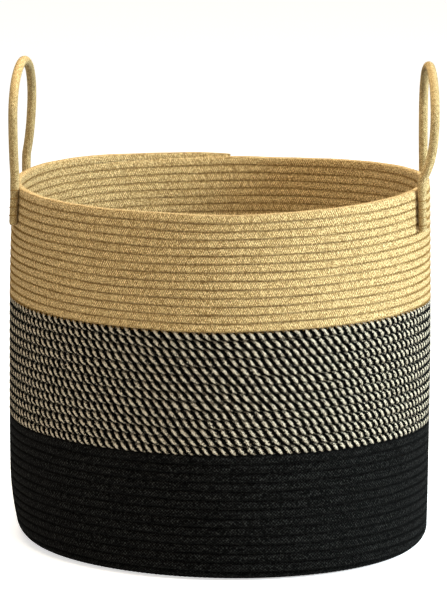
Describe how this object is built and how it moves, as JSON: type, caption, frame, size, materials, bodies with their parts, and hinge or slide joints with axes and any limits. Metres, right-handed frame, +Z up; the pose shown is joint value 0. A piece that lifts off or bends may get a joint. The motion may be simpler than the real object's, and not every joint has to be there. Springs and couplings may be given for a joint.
{
  "type": "coiled rope basket",
  "caption": "Round open storage basket wound from sewn cotton rope in tan, two-tone and black bands, with tall rope loop handles that fold over the mouth or hang outside.",
  "frame": {"origin": "on the basket's axis, on the ground under its floor", "axes": "+Z up along the basket's axis, the handles on the X axis, -Y the front"},
  "size_m": [0.403, 0.3998, 0.4613],
  "materials": {
    "black_rope": "braided cotton, matt",
    "two_tone_rope": "twisted cotton, matt",
    "tan_rope": "braided cotton, matt",
    "handle_rope": "braided cotton, matt",
    "black_thread": "sewing thread",
    "tan_thread": "sewing thread"
  },
  "bodies": {
    "basket": {"base_coil": "black_rope", "base_seam_thread": "black_thread", "black_seam_thread": "black_thread", "black_wall_coil": "black_rope", "left_handle_back_bend": "handle_rope", "left_handle_back_end": "handle_rope", "left_handle_back_stitches": "tan_thread", "left_handle_front_bend": "handle_rope", "left_handle_front_end": "handle_rope", "left_handle_front_stitches": "tan_thread", "mixed_seam_thread": "black_thread", "mixed_wall_coil": "two_tone_rope", "right_handle_back_bend": "handle_rope", "right_handle_back_end": "handle_rope", "right_handle_back_stitches": "tan_thread", "right_handle_front_bend": "handle_rope", "right_handle_front_end": "handle_rope", "right_handle_front_stitches": "tan_thread", "tan_seam_thread": "tan_thread", "tan_wall_coil": "tan_rope"},
    "left_handle": {"left_handle_loop": "handle_rope"},
    "right_handle": {"right_handle_loop": "handle_rope"}
  },
  "joints": [
    {"name": "left_handle_fold", "type": "hinge", "parent": "basket", "child": "left_handle", "pos_m": [-0.19457, 0, 0.35385], "axis": [0, -1, 0], "range_deg": [-90, 170], "deforming": ["left_handle_front_bend", "left_handle_back_bend"]},
    {"name": "right_handle_fold", "type": "hinge", "parent": "basket", "child": "right_handle", "pos_m": [0.19457, 0, 0.35385], "axis": [0, 1, 0], "range_deg": [-90, 170], "deforming": ["right_handle_front_bend", "right_handle_back_bend"]}
  ]
}
